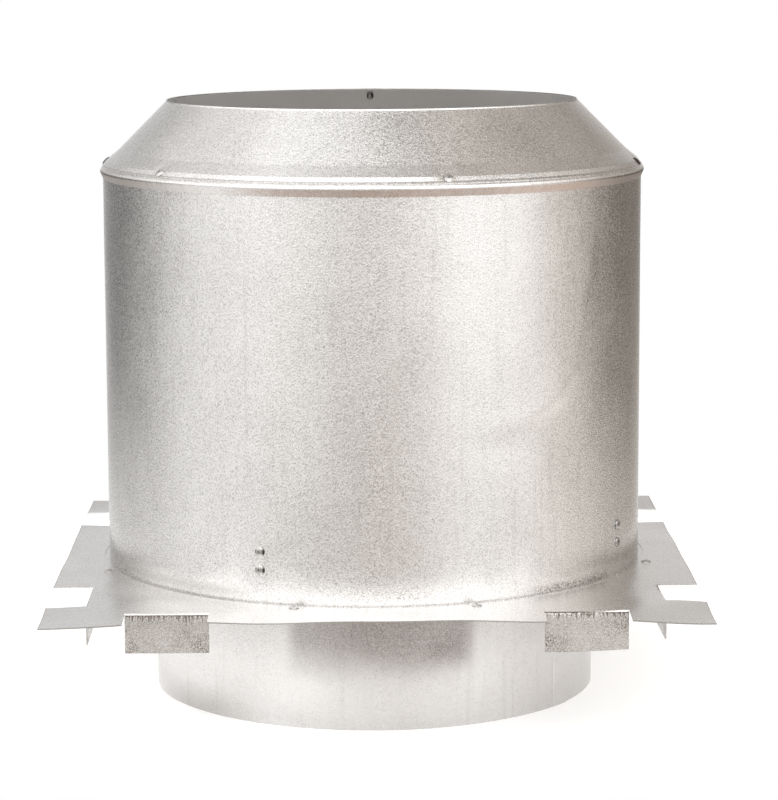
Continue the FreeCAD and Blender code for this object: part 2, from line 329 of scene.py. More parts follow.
def add_piece(name, points, faces, material, nodes, sharp=35.0):
    """Makes a piece from points and quads, smooth but for its cut edges, and puts it in the frame."""
    mesh = bpy.data.meshes.new(name)
    mesh.from_pydata(points.tolist(), [], faces.tolist())
    mesh.materials.append(material)
    piece = bpy.data.objects.new(name, mesh)
    bpy.context.scene.collection.objects.link(piece)
    mesh.shade_smooth()
    mesh.set_sharp_from_angle(angle=math.radians(sharp))
    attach(piece, BODY)
    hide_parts(*nodes)
    return piece


# Materials

class Graph:
    """Adds nodes to a node tree, each from its inputs in order."""

    def __init__(self, tree):
        self.tree = tree
        tree.nodes.clear()

    def feed(self, socket, value):
        """Gives a socket a value or another node's output."""
        if isinstance(value, bpy.types.NodeSocket):
            self.tree.links.new(value, socket)
        else:
            socket.default_value = value

    def add(self, kind, inputs=None, **settings):
        """New node. Inputs are given by name or number as a value or another node's output."""
        node = self.tree.nodes.new("ShaderNode" + kind)
        for key, value in settings.items():
            setattr(node, key, value)
        for key, value in (inputs or {}).items():
            self.feed(node.inputs[key], value)
        return node

    def math(self, operation, first, second=0.0, third=0.0, clamp=False):
        """Math node's result."""
        node = self.add("Math", {0: first, 1: second, 2: third}, operation=operation, use_clamp=clamp)
        return node.outputs[0]

    def minus(self, first, second):
        """First value less the second."""
        return self.math("SUBTRACT", first, second)

    def times(self, *values):
        """Product of values."""
        product = values[0]
        for value in values[1:]:
            product = self.math("MULTIPLY", product, value)
        return product

    def sum(self, *values):
        """Sum of values, kept from 0 to 1."""
        total = values[0]
        for value in values[1:]:
            total = self.math("ADD", total, value, clamp=True)
        return total

    def scaled(self, value, factor, base, clamp=False):
        """Value times a factor, added to a base."""
        return self.math("MULTIPLY_ADD", value, factor, base, clamp)

    def unsigned(self, value):
        """Value without its sign."""
        return self.math("ABSOLUTE", value)

    def vector(self, operation, first, second=(0.0, 0.0, 0.0)):
        """Vector math node's result, which is a number for a length and a dot product."""
        node = self.add("VectorMath", {0: first, 1: second}, operation=operation)
        return node.outputs["Value" if operation in ("LENGTH", "DOT_PRODUCT") else "Vector"]

    def between(self, value, low, high, start=0.0, end=1.0):
        """Value mapped smoothly from low..high to start..end."""
        node = self.add("MapRange", {"Value": value, "From Min": low, "From Max": high, "To Min": start,
                                     "To Max": end}, interpolation_type="SMOOTHSTEP")
        return node.outputs["Result"]

    def within(self, value, low, full_low, full_high, high):
        """1 from one full place to the other, falling to 0 at low and high."""
        return self.times(self.between(value, low, full_low),
                          self.between(value, full_high, high, 1.0, 0.0))

    def noise(self, where, scale, detail, roughness):
        """Noise from 0 to 1 at a place."""
        node = self.add("TexNoise", {"Vector": where, "Scale": scale, "Detail": detail,
                                     "Roughness": roughness})
        return node.outputs["Fac"]

    def parts(self, place):
        """X, y and z of a place."""
        return self.add("SeparateXYZ", {0: place}).outputs

    def azimuth(self, x, y):
        """Azimuth in radians, from the front to the right."""
        return self.math("ARCTAN2", x, self.times(y, -1.0))

    def round_place(self, where):
        """Azimuth in radians and height of a place."""
        x, y, height = self.parts(where)
        return self.azimuth(x, y), height

    def drawn(self, where, along):
        """Place with its height shrunk, for patterns drawn out up and down the sheet."""
        return self.add("Mapping", {"Vector": where, "Scale": (1.0, 1.0, along)}).outputs[0]

    def streaks(self, where, scale, strength):
        """Faint streaks that run down a sheet, from a noise drawn out by its height."""
        return self.between(self.noise(self.drawn(where, 0.05), scale, 3.0, 0.6), 0.52, 0.80, 0.0, strength)

    def band(self, azimuth, middle, half_width, softness=0.45):
        """1 round an azimuth, falling to 0 at its half width, both in degrees. Softness is the
        share of the half width in which it falls."""
        away = self.unsigned(self.minus(azimuth, math.radians(middle)))
        edge = math.radians(half_width)
        return self.between(away, edge * (1 - softness), edge, 1.0, 0.0)

    def hump(self, value, middle, half_width):
        """1 at a value, falling to 0 at its half width."""
        return self.between(self.unsigned(self.minus(value, middle)), 0.0, half_width, 1.0, 0.0)

    def patch(self, azimuth, height, place, softness=0.45):
        """1 in the middle of a patch, falling to 0 at its edges. Its place holds an azimuth and a
        half width in degrees, a height and a half height."""
        return self.times(self.band(azimuth, *place[:2], softness), self.hump(height, *place[2:]))

    def ramp(self, value, stops):
        """Colour ramp through stops of (place, colour)."""
        node = self.add("ValToRGB", {"Fac": value})
        node.color_ramp.interpolation = "EASE"
        elements = node.color_ramp.elements
        while len(elements) < len(stops):
            elements.new(0.5)
        for element, (place, tint) in zip(elements, sorted(stops)):
            element.position = place
            element.color = (*tint, 1.0)
        return node.outputs["Color"]

    def mix(self, share_of_second, first, second):
        """Mix of two colours, each a node's output or three numbers."""
        node = self.add("Mix", {"Factor": share_of_second}, data_type="RGBA")
        for key, value in ((6, first), (7, second)):
            is_output = isinstance(value, bpy.types.NodeSocket)
            self.feed(node.inputs[key], value if is_output else (*value, 1.0))
        return node.outputs[2]

    def metal(self, tint, roughness, relief, strength, depth):
        """Metal with a bump, given to the material's output."""
        bump = self.add("Bump", {"Height": relief, "Strength": strength, "Distance": depth})
        shader = self.add("BsdfPrincipled", {"Base Color": tint, "Metallic": 1.0, "Roughness": roughness,
                                             "Normal": bump.outputs[0]})
        self.add("OutputMaterial", {"Surface": shader.outputs[0]})


def new_material(name):
    """Material with an empty node tree, and the graph that fills it."""
    material = bpy.data.materials.new(name)
    material.use_nodes = True
    return material, Graph(material.node_tree)


def darkened(tint, part):
    """Colour multiplied by a part of 1."""
    return tuple(part * channel for channel in tint)


def galvanised(name, finish, marks=None, spangle=1.0):
    """Spangled zinc: fine light and dark grains of a few sizes over slow stains, with roughness
    and a bump that follow the grains and the faint ripples that rolling leaves up the sheet.
    marks gives one piece's wear and painted light as layers of a mask, a colour and added roughness."""
    material, graph = new_material(name)
    where = graph.add("TexCoord").outputs["Object"]
    grain = 1.0 / finish.grain
    cells = graph.add("TexVoronoi", {"Vector": where, "Scale": grain, "Randomness": 1.0})
    cell_tone = graph.add("SeparateColor", {0: cells.outputs["Color"]}).outputs[0]
    fine = graph.noise(where, grain * 1.25, 2.0, 0.6)
    stains = graph.noise(where, 26.0, 4.0, 0.55)
    ripples = graph.noise(graph.drawn(where, 0.03), 300.0, 2.0, 0.5)
    pits = graph.between(fine, 0.45, 0.68, 0.0, 0.40 * spangle)
    tone = graph.scaled(graph.minus(cell_tone, 0.5), 0.18 * spangle, graph.math("ADD", pits, 0.10))
    tone = graph.scaled(graph.minus(stains, 0.5), 0.32, tone, clamp=True)
    metal_colour = graph.mix(tone, finish.zinc, finish.dark_zinc)
    roughness = graph.scaled(tone, -0.25, finish.roughness + 0.0475)
    # Layers of wear and of painted shade and reflections alike
    for mask, mark_colour, dulling in marks(graph, where, finish) if marks else ():
        metal_colour = graph.mix(mask, metal_colour, mark_colour)
        roughness = graph.scaled(mask, dulling, roughness)
    relief = graph.scaled(ripples, 0.4, graph.scaled(cell_tone, 0.5, fine))
    graph.metal(metal_colour, roughness, relief, 0.24, 0.0004)
    return material


def shell_marks(graph, where, finish):
    """Marks of the shell: painted shade along its foot, strongest on the left, and over it on the left a
    painted dark reflection of the plate, a smear on the right, specks in front, a painted warm
    reflection under the bead in front, painted shade under the bead at its sides and back, and faint
    streaks that run down."""
    azimuth, height = graph.round_place(where)
    above_foot = graph.minus(height, RING_TOP)
    below_bead = graph.minus(slope_place(bpy.context.scene.shield_sizes, 0.0)[1], height)
    left = graph.band(azimuth, -52.0, 30.0)
    # Painted shade in the corner along the shell's foot, strongest on the left
    foot = graph.times(graph.between(above_foot, 0.0002, 0.0016, 1.0, 0.0), graph.scaled(left, 0.40, 0.02))
    # Painted dark reflection of the plate, just over the foot on the left
    plate_reflection = graph.times(graph.hump(above_foot, 0.0060, 0.0060), left, 0.26)
    flecks = graph.noise(where, 860.0, 2.0, 0.7)
    smear = graph.times(graph.patch(azimuth, above_foot, FOOT_SMEAR),
                        graph.between(flecks, 0.44, 0.60, 0.10, 0.85))
    specks = graph.times(graph.patch(azimuth, above_foot, FOOT_SPECKS),
                         graph.between(flecks, 0.54, 0.64, 0.0, 0.62))
    blots = graph.between(graph.noise(where, 170.0, 4.0, 0.65), 0.3, 0.6, 0.75, 1.0)
    # Painted warm reflection of the floor in the band under the bead, mostly in front
    bead_underside_reflection = graph.times(graph.within(below_bead, 0.0008, 0.0016, 0.0052, 0.0062),
                      graph.scaled(graph.band(azimuth, 12.0, 48.0, 0.4), 0.53, 0.04), blots)
    # Painted shade under the bead, at the sides and the back
    bead_side_shade = graph.times(graph.within(below_bead, -0.0006, 0.0008, 0.0052, 0.0062),
                            graph.between(graph.unsigned(azimuth), 0.45, 1.15, 0.0, 0.80))
    # Grime, painted shade and painted reflections, mixed in one layer
    grime_and_shade = graph.sum(foot, plate_reflection, smear, specks, graph.streaks(where, 210.0, 0.12), bead_side_shade)
    return (grime_and_shade, finish.grime_and_shade, 0.15), (bead_underside_reflection, finish.bead_underside_reflection, 0.10)


def collar_marks(graph, where, finish):
    """Marks of the collar: a few blots, painted shade in the valley over its margin, and an inside that is
    duller than the outside and darker with painted shade, with more painted shade at its back. Inside
    and valley are found by the lift off the slope and the distance up it, as in slope_place."""
    slope = bpy.context.scene.shield_sizes.cone_angle
    azimuth, height = graph.round_place(where)
    from_axis = graph.vector("LENGTH", graph.drawn(where, 0.0))
    radius, level = slope_place(bpy.context.scene.shield_sizes, 0.0)
    along, off = math.cos(slope), math.sin(slope)
    lift = graph.scaled(from_axis, off, graph.times(height, along))
    lift = graph.minus(lift, radius * off + level * along)
    up = graph.scaled(height, off, graph.times(from_axis, -along))
    up = graph.minus(up, level * off - radius * along)
    inside = graph.between(lift, -0.0004, -0.0002, 1.0, 0.0)
    # Painted shade in the crease at the ridge's foot
    crease_shade = graph.times(graph.hump(up, 0.0042, 0.0008), 0.40)
    blots = graph.between(graph.noise(where, 120.0, 4.0, 0.65), 0.58, 0.80, 0.0, 0.14)
    # Painted shade on the inner face at the back
    back_shade = graph.times(inside, graph.between(graph.unsigned(azimuth), 1.9, 2.9, 0.0, 0.42))
    # The inner face's layer: duller, and darker as painted shade
    return ((graph.sum(crease_shade, blots), finish.grime_and_shade, 0.15),
            (graph.times(inside, 0.85), finish.inside, 0.42), (back_shade, finish.grime_and_shade, 0.0))


def sleeve_marks(graph, where, finish):
    """Grime and painted light of the sleeve: a mottled painted dark reflection in front with an uneven
    lower edge and a lobe on its right, dirt beside the seam, painted shade along the rim on the left,
    faint streaks, and an even film with painted shade added in front and on the right."""
    azimuth, height = graph.round_place(where)
    # Painted dark reflection in front, below the plate: a mottled band with an uneven lower edge and a lobe
    uneven = graph.scaled(graph.minus(graph.noise(where, 38.0, 4.0, 0.55), 0.5), 0.016, height)
    front_reflection = graph.times(graph.between(uneven, 0.027, 0.056), graph.band(azimuth, 1.3, 25.5, 0.2))
    mottles = graph.between(graph.noise(where, 1300.0, 2.0, 0.7), 0.38, 0.62, 0.25, 0.51)
    reflection_lobe = graph.times(graph.patch(azimuth, height, REFLECTION_LOBE, 0.7), 0.09)
    front_reflection = graph.scaled(front_reflection, mottles, reflection_lobe)
    specks = graph.between(graph.noise(where, 480.0, 3.0, 0.7), 0.56, 0.68, 0.0, 0.7)
    seam = graph.times(graph.patch(azimuth, height, SEAM_DIRT), specks)
    # An even film, with painted shade added on the right and in front
    film_and_shade = graph.scaled(graph.band(azimuth, 62.0, 42.0, 0.8), 0.18, 0.15)
    film_and_shade = graph.scaled(graph.band(azimuth, 7.0, 34.0, 0.8), 0.15, film_and_shade)
    # Painted shade along the lower rim on the left
    rim = graph.times(graph.between(height, 0.002, 0.022, 1.0, 0.0),
                      graph.band(azimuth, -52.0, 26.0, 0.9), 0.25)
    # Grime, painted shade and painted reflections, mixed in one layer
    grime_and_shade = graph.sum(front_reflection, seam, graph.streaks(where, 190.0, 0.10), film_and_shade, rim)
    return ((grime_and_shade, finish.grime_and_shade, 0.12),)


def plate_marks(graph, where, finish):
    """Grime of the plate: ragged dark flaking under the folds and a mottled skin on the folded
    tabs, where the zinc was stretched, dark cut edges and a dull back."""
    sizes = bpy.context.scene.shield_sizes
    near, far, root = tab_places(sizes)
    x, y, height = graph.parts(where)
    across = graph.unsigned(x)
    along = graph.unsigned(graph.math("ADD", y, sizes.plate_forward))
    out = graph.math("MAXIMUM", across, along)
    lesser = graph.math("MINIMUM", across, along)
    depth = graph.minus(PLATE_TOP - 0.0003, height)
    folded = graph.times(
        graph.within(out, root + 0.0004, root + 0.0012, sizes.fold_line + 0.0008, sizes.fold_line + 0.0016),
        graph.within(lesser, near - 0.0006, near - 0.0002, far + 0.0002, far + 0.0006),
        graph.between(depth, 0.0001, 0.0006))
    ragged = graph.noise(graph.drawn(where, 0.10), 800.0, 4.0, 0.75)
    reach = graph.between(ragged, 0.44, 0.80, 0.0014, 0.0092)
    flaking = graph.math("DIVIDE", graph.minus(reach, depth), 0.0009, clamp=True)
    mottles = graph.between(graph.noise(where, 1150.0, 2.0, 0.7), 0.42, 0.60, 0.0, 0.58)
    clouds = graph.between(graph.noise(where, 75.0, 3.0, 0.6), 0.36, 0.64, 0.6, 1.4)
    from_middle = graph.unsigned(graph.minus(lesser, (near + far) / 2))
    mottles = graph.times(mottles, clouds, graph.between(from_middle, 0.004, 0.025, 0.70, 1.25))
    worn = graph.times(folded, graph.scaled(flaking, 0.74, mottles))
    cut = graph.between(out, sizes.plate_half - 0.0006, sizes.plate_half - 0.0002, 0.0, 0.6)
    dull_back = graph.between(y, 0.06, 0.18, 0.0, 0.20)
    return ((graph.sum(worn, cut, dull_back), finish.grime_and_shade, 0.15),)


def plated(name, finish):
    """Dull plating of the rivets with darker patches. A painted dark reflection lies on the right side and
    the middle of the heads on the shell and on the left side of those on the collar, covers the collar's
    at the shield's sides, and is thin on the plate's."""
    material, graph = new_material(name)
    where = graph.add("TexCoord").outputs["Object"]
    azimuth, height = graph.round_place(where)
    normal = graph.add("NewGeometry").outputs["Normal"]
    on_wall = graph.between(height, 0.20, 0.25, 1.0, 0.0)
    on_collar = graph.between(height, 0.30, 0.34)
    off_plate = graph.between(height, 0.090, 0.096, 0.2, 1.0)
    outwards = graph.drawn(where, 0.0)
    tangent = graph.vector("NORMALIZE", graph.vector("CROSS_PRODUCT", (0.0, 0.0, 1.0), outwards))
    to_right = graph.vector("DOT_PRODUCT", graph.drawn(normal, 0.0), tangent)
    # Painted dark reflections on one side and the middle of the heads, and on the collar's heads at the
    # sides
    edge = graph.between(graph.times(to_right, graph.scaled(on_wall, 2.0, -1.0)), 0.18, 0.50, 0.0, 0.72)
    level = graph.unsigned(graph.parts(normal)[2])
    middle = graph.times(graph.between(level, 0.12, 0.40, 0.42, 0.0), on_wall)
    at_side = graph.between(graph.unsigned(azimuth), 1.0, 1.4, 0.0, 0.75)
    head_reflection = graph.times(graph.math("ADD", edge, middle), off_plate)
    rivet_reflection = graph.sum(head_reflection, graph.times(at_side, on_collar))
    patches = graph.noise(where, 900.0, 3.0, 0.6)
    patchy = graph.between(patches, 0.45, 0.75)
    tint = graph.mix(patchy, finish.rivet_zinc, darkened(finish.rivet_zinc, 0.45))
    tint = graph.mix(rivet_reflection, tint, darkened(finish.grime_and_shade, 0.35))
    roughness = graph.scaled(rivet_reflection, 0.2, graph.between(patches, 0.2, 0.8, 0.16, 0.36))
    graph.metal(tint, roughness, patches, 0.3, 0.0002)
    return material


def material_named(name, maker, *details):
    """Material of that name, made at its first use."""
    return bpy.data.materials.get(name) or maker(name, bpy.context.scene.shield_finish, *details)


# Operators

def add_rolled(name, node, path, seam, give, marks, spangle=1.0, columns=400):
    """Rolled sheet that stands for a CAD node, in zinc with its own marks."""
    sizes = bpy.context.scene.shield_sizes
    points, faces = revolved_sheet(path, sizes.sheet, seam, sizes.lap_width, give, columns)
    material = material_named(name + "_zinc", galvanised, marks, spangle)
    add_piece(name + "_skin", points, faces, material, [node])


class SHIELD_OT_shell(bpy.types.Operator):
    """Rolled shell with its bead, its lip and its dents"""
    bl_idname = "shield.shell"
    bl_label = "Shell"

    def execute(self, context):
        sizes, wear = context.scene.shield_sizes, context.scene.shield_wear
        nose = slope_place(sizes, 0.0)
        corners = [
            (sizes.shell_radius, RING_TOP),
            (sizes.shell_radius, nose[1] - sizes.bead_rise),
            nose,
            slope_place(sizes, sizes.lip_length),
        ]
        path = bent_path(corners, (sizes.bead_foot_bend, sizes.bead_nose_bend), PROFILE_STEP)
        give = shell_give(wear, RING_TOP, corners[1][1])
        add_rolled("shell", "shield_shell", path, sizes.shell_seam, give, shell_marks)
        return {"FINISHED"}


class SHIELD_OT_collar(bpy.types.Operator):
    """Conical collar with its joggled margin and lap seam"""
    bl_idname = "shield.collar"
    bl_label = "Collar"

    def execute(self, context):
        sizes = context.scene.shield_sizes
        bead_radius = sizes.shell_radius + sizes.bead_proud
        slope = sizes.cone_angle
        nose_turn = math.pi - slope - math.atan2(sizes.bead_rise, sizes.bead_proud)
        margin = sizes.bead_nose_bend * math.tan(nose_turn / 2) + sizes.margin_setback
        rim = (bead_radius - sizes.opening_radius) / math.cos(slope)
        corners = [
            slope_place(sizes, margin, sizes.sheet),
            slope_place(sizes, sizes.ridge_foot, sizes.sheet),
            slope_place(sizes, sizes.ridge_crest, sizes.sheet + sizes.ridge_rise),
            slope_place(sizes, sizes.joggle_foot),
            slope_place(sizes, rim - sizes.rim_roll),
            (sizes.opening_radius + sizes.rim_lean * sizes.rim_roll, RING_TOP + sizes.shield_height),
        ]
        bends = (sizes.ridge_bend, sizes.joggle_bend, sizes.joggle_bend, sizes.rim_bend)
        path = bent_path(corners, bends, PROFILE_STEP)
        above_corner = slope_place(sizes, 0.0)[1] + 1.2 * sizes.sheet

        def give(azimuth, height):
            """Ridge pressed flat round each rivet: the ridge's rise, less and less up and down from
            its crest, times a flat-topped bell round each rivet's azimuth."""
            up = np.interp((height - above_corner) / math.sin(slope),
                           (sizes.ridge_foot, sizes.ridge_crest, sizes.joggle_foot), (0.0, 1.0, 0.0))
            away = (azimuth[..., None] - np.radians(COLLAR_RIVETS) + math.pi) % (2 * math.pi) - math.pi
            pressed = np.exp(-(away / sizes.rivet_flat) ** 4).sum(-1)
            return -sizes.ridge_rise / math.sin(slope) * up * pressed

        add_rolled("collar", "top_collar", path, sizes.collar_seam, give, collar_marks, spangle=1.3,
                   columns=600)
        return {"FINISHED"}


class SHIELD_OT_sleeve(bpy.types.Operator):
    """Sleeve under the ring, with its flange and lap seam"""
    bl_idname = "shield.sleeve"
    bl_label = "Sleeve"

    def execute(self, context):
        sizes, wear = context.scene.shield_sizes, context.scene.shield_wear
        under = RING_BOTTOM - sizes.sheet
        corners = [(sizes.sleeve_radius, 0.0), (sizes.sleeve_radius, under), (sizes.flange_radius, under)]
        path = bent_path(corners, (sizes.sleeve_bend,), PROFILE_STEP)

        def give(azimuth, height):
            """Slow waves that grow towards the free rim."""
            loose = 1 - fade(height, 0.0, RING_BOTTOM)
            return wear.wave * loose * (np.sin(4 * azimuth + 1.0) + 0.7 * np.sin(9 * azimuth))

        add_rolled("sleeve", "lower_sleeve", path, sizes.sleeve_seam, give, sleeve_marks, spangle=0.45)
        return {"FINISHED"}


def plate_level(x, y, sizes, wear):
    """Height of the plate's upper face over its own level: flat where it is riveted, with
    waves along its free edges and front corners that hang down. x and y are from its centre."""
    from_axis = np.hypot(x, y - sizes.plate_forward)
    free = fade(from_axis, *PLATE_FREE)
    wave = np.sin(41.0 * x + 0.7) * np.cos(33.0 * y - 0.4) + 0.5 * np.sin(74.0 * (x - y) + 1.1)
    corner = fade((np.abs(x) + np.abs(y)) / 2, *CORNER_BEND)
    front = np.where(y < 0, 1.0, 0.25)
    return free * wear.edge_wave * wave - wear.corner_droop * corner * front


def plate_grid(sizes):
    """Flat part of the plate, as points (x, y) from its centre and quads. The lines of the grid
    run along the plate's cuts, cells in the notches and the hole are left out, and the points
    on the hole's stepped edge are drawn radially onto its circle."""
    near, far, root = tab_places(sizes)
    stops = [root, sizes.plate_half, near, far]
    lines = ruled(np.array(sorted([-stop for stop in stops] + stops)), PLATE_STEP)
    x, y = np.meshgrid(lines, lines, indexing="ij")
    middle = (lines[1:] + lines[:-1]) / 2
    mx, my = np.meshgrid(middle, middle, indexing="ij")

    def in_tab(value):
        """Whether a value lies between a tab's two sides."""
        return (np.abs(value) > near) & (np.abs(value) < far)

    notch = (in_tab(mx) & (np.abs(my) > root)) | (in_tab(my) & (np.abs(mx) > root))
    holed = np.hypot(mx, my - sizes.plate_forward) < sizes.hole_radius
    kept = ~(notch | holed)
    beside_hole = np.zeros(x.shape, bool)
    for dx, dy in ((0, 0), (0, 1), (1, 0), (1, 1)):
        beside_hole[dx:dx + len(middle), dy:dy + len(middle)] |= holed
    from_axis = np.hypot(x, y - sizes.plate_forward)
    pull = np.where(beside_hole, sizes.hole_radius / np.maximum(from_axis, 1e-6), 1.0)
    x = x * pull
    y = (y - sizes.plate_forward) * pull + sizes.plate_forward
    faces = grid_faces(len(lines), len(lines), False, False)[kept.reshape(-1)]
    return x.reshape(-1), y.reshape(-1), faces[:, ::-1]


def folded_tabs(sizes):
    """Points (x, y, drop) and quads of the eight tabs: a fold's section carried along each root."""
    near, far, root = tab_places(sizes)
    section, _ = bent_path([(root, 0.0), (sizes.fold_line, 0.0), (sizes.fold_line, -sizes.tab_depth)],
                           (sizes.fold_bend,), PLATE_STEP, arc_steps=5)
    along = ruled(np.array([near, far]), PLATE_STEP)
    out, side = np.meshgrid(section[:, 0], along, indexing="ij")
    drop = np.repeat(section[:, 1][:, None], len(along), axis=1)
    quads = grid_faces(len(section), len(along), False, False)
    points, faces = [], []
    for quarter in range(4):
        turn = quarter * math.pi / 2
        for sign in (1, -1):
            x, y = sign * side, -out
            points.append(np.stack([x * math.cos(turn) - y * math.sin(turn),
                                    x * math.sin(turn) + y * math.cos(turn), drop], -1).reshape(-1, 3))
            faces.append((quads if sign < 0 else quads[:, ::-1]) + len(faces) * len(section) * len(along))
    return np.concatenate(points), np.concatenate(faces)


class SHIELD_OT_plate(bpy.types.Operator):
    """Joist plate with its hole, its flat tabs and its folded tabs"""
    bl_idname = "shield.plate"
    bl_label = "Joist plate"

    def execute(self, context):
        sizes, wear = context.scene.shield_sizes, context.scene.shield_wear
        x, y, faces = plate_grid(sizes)
        flat = np.stack([x, y, np.zeros(len(x))], -1)
        tabs, tab_faces = folded_tabs(sizes)
        points = np.concatenate([flat, tabs])
        points[:, 2] += PLATE_TOP + plate_level(points[:, 0], points[:, 1], sizes, wear)
        points[:, 1] -= sizes.plate_forward
        faces = np.concatenate([faces, tab_faces + len(flat)])
        used = np.unique(faces)
        renumber = np.zeros(len(points), int)
        renumber[used] = np.arange(len(used))
        material = material_named("plate_zinc", galvanised, plate_marks, 0.6)
        sharp = 50.0
        plate = add_piece("plate_skin", points[used], renumber[faces], material,
                          ["base_plate"], sharp)
        welded = bmesh.new()
        welded.from_mesh(plate.data)
        bmesh.ops.remove_doubles(welded, verts=welded.verts, dist=1e-5)
        bmesh.ops.solidify(welded, geom=welded.faces[:], thickness=sizes.sheet)
        welded.to_mesh(plate.data)
        welded.free()
        plate.data.set_sharp_from_angle(angle=math.radians(sharp))
        return {"FINISHED"}


class SHIELD_OT_fasteners(bpy.types.Operator):
    """Finish of the rivets, the brackets and the ring"""
    bl_idname = "shield.fasteners"
    bl_label = "Rivets, brackets and ring"

    def execute(self, context):
        for name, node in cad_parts.items():
            if name.endswith("rivets"):
                finish = material_named("rivet_plating", plated)
            elif name.endswith("bracket") or name == "sleeve_ring":
                finish = material_named("bracket_zinc", galvanised)
            else:
                continue
            for slot in node.material_slots:
                slot.material = finish
        return {"FINISHED"}


# Studio

# Tones of the tent's walls by azimuth in degrees, each with its warmth, from low to high
LOW_WALLS = (
    (-180, 1.0, 0.0), (-170, 1.0, 0.0), (-150, 1.0, 0.04), (-130, 1.06, 0.04), (-85, 1.16, 0.03),
    (-50, 0.78, 0.05), (-20, 0.62, 0.12), (-2, 0.52, 0.20), (28, 0.76, 0.12), (50, 0.72, 0.09),
    (85, 1.02, 0.12), (105, 0.96, 0.17), (125, 0.76, 0.20), (150, 0.55, 0.20), (170, 1.0, 0.0),
    (180, 1.0, 0.0),
)
MIDDLE_WALLS = (
    (-180, 1.0, 0.0), (-171, 1.0, 0.0), (-158, 0.40, 0.02), (-138, 0.10, 0.05), (-112, 0.10, 0.05),
    (-78, 0.24, 0.07), (-50, 0.36, 0.07), (-35, 0.36, 0.08), (-8, 0.27, 0.18), (10, 0.42, 0.20),
    (42, 1.20, 0.03), (58, 0.74, 0.09), (95, 0.16, 0.32), (125, 0.10, 0.30), (142, 0.12, 0.28),
    (160, 0.42, 0.18), (171, 1.0, 0.0), (180, 1.0, 0.0),
)
HIGH_WALLS = (
    (-180, 1.0, 0.0), (-171, 1.0, 0.0), (-160, 0.34, 0.03), (-142, 0.15, 0.05), (-118, 0.15, 0.05),
    (-98, 0.44, 0.05), (-76, 1.02, 0.03), (-50, 1.24, 0.03), (-32, 1.12, 0.03), (-5, 0.69, 0.10),
    (12, 0.75, 0.11), (45, 1.38, 0.01), (60, 1.28, 0.04), (88, 0.55, 0.22), (118, 0.08, 0.36),
    (140, 0.16, 0.34), (160, 0.20, 0.26), (172, 1.0, 0.0), (180, 1.0, 0.0),
)
TOP_WALLS = (
    (-180, 0.70, 0.02), (-165, 0.66, 0.02), (-152, 0.50, 0.04), (-130, 0.80, 0.05), (-100, 1.4, 0.03),
    (-50, 1.7, 0.02), (0, 1.9, 0.02), (50, 1.7, 0.02), (85, 1.1, 0.12), (120, 0.50, 0.22),
    (150, 0.32, 0.22), (168, 0.62, 0.06), (180, 0.68, 0.05),
)
# Each wall over the lowest, with the rises of the line of sight between which it takes over
WALLS_ABOVE = ((MIDDLE_WALLS, -0.20, -0.155), (HIGH_WALLS, -0.155, -0.10), (TOP_WALLS, 0.0, 0.13))
# Tones of the tent's ceiling from left (-1) to right (1), and the colour of its bright parts
CEILING = (
    (-1.0, 1.6, 0.02), (-0.72, 1.5, 0.02), (-0.64, 0.86, 0.04), (-0.54, 0.92, 0.04), (-0.4, 0.57, 0.04),
    (-0.2, 0.31, 0.05), (0.0, 0.28, 0.10), (0.24, 0.46, 0.18), (0.43, 0.55, 0.20), (0.55, 0.34, 0.20),
    (0.63, 0.21, 0.20), (0.72, 1.2, 0.12), (1.0, 1.2, 0.12),
)
BRIGHT_CEILING = (1.9, 1.87, 1.84)


def warm(tone, warmth):
    """Grey of a tone, reddened by its warmth."""
    return (tone * (1 + warmth / 2), tone, tone * (1 - warmth / 2))


def tone_stops(tones, half_range):
    """Stops of a colour ramp from tones whose places run from minus half_range to half_range."""
    return [(0.5 + place / (2 * half_range), warm(tone, warmth)) for place, tone, warmth in tones]


def ceiling_colour(graph, x, y):
    """Ceiling with tones from left to right. It is bright in front, further back at its left and
    right ends, and paler in a patch on the left behind its middle, from a line that bends back
    with the square of x."""
    ceiling = graph.ramp(graph.scaled(x, 0.5, 0.5), tone_stops(CEILING, 1.0))
    aside = graph.unsigned(x)
    front_edge = graph.scaled(graph.math("MINIMUM", graph.minus(0.45, aside), 0.0), 1.2, y)
    front = graph.between(front_edge, -0.36, -0.14, 1.0, 0.0)
    patch_edge = graph.scaled(graph.times(aside, aside), -0.9, y)
    patch = graph.times(graph.between(patch_edge, 0.02, 0.12, 0.0, 0.37),
                        graph.between(x, -0.10, 0.34, 1.0, 0.0), graph.between(x, -0.50, -0.36))
    return graph.mix(graph.math("MAXIMUM", patch, front), ceiling, BRIGHT_CEILING)


def studio_world():
    """Sky that lights the metal as a photographer's tent does: walls that are light at the sides
    and in front and dark at the back beside a white backdrop, with tones of their own at four
    heights, and a ceiling."""
    world = bpy.data.worlds.new("studio_tent")
    bpy.context.scene.world = world
    world.use_nodes = True
    graph = Graph(world.node_tree)
    x, y, rise = graph.parts(graph.add("TexCoord").outputs["Generated"])
    turn = graph.scaled(graph.azimuth(x, y), 1 / (2 * math.pi), 0.5)
    tent = graph.ramp(turn, tone_stops(LOW_WALLS, 180))
    for tones, low, high in WALLS_ABOVE:
        tent = graph.mix(graph.between(rise, low, high), tent, graph.ramp(turn, tone_stops(tones, 180)))
    tent = graph.mix(graph.between(rise, 0.40, 0.92), tent, ceiling_colour(graph, x, y))
    lit = graph.add("Background", {"Color": tent, "Strength": 1.0})
    graph.add("OutputWorld", {"Surface": lit.outputs[0]})


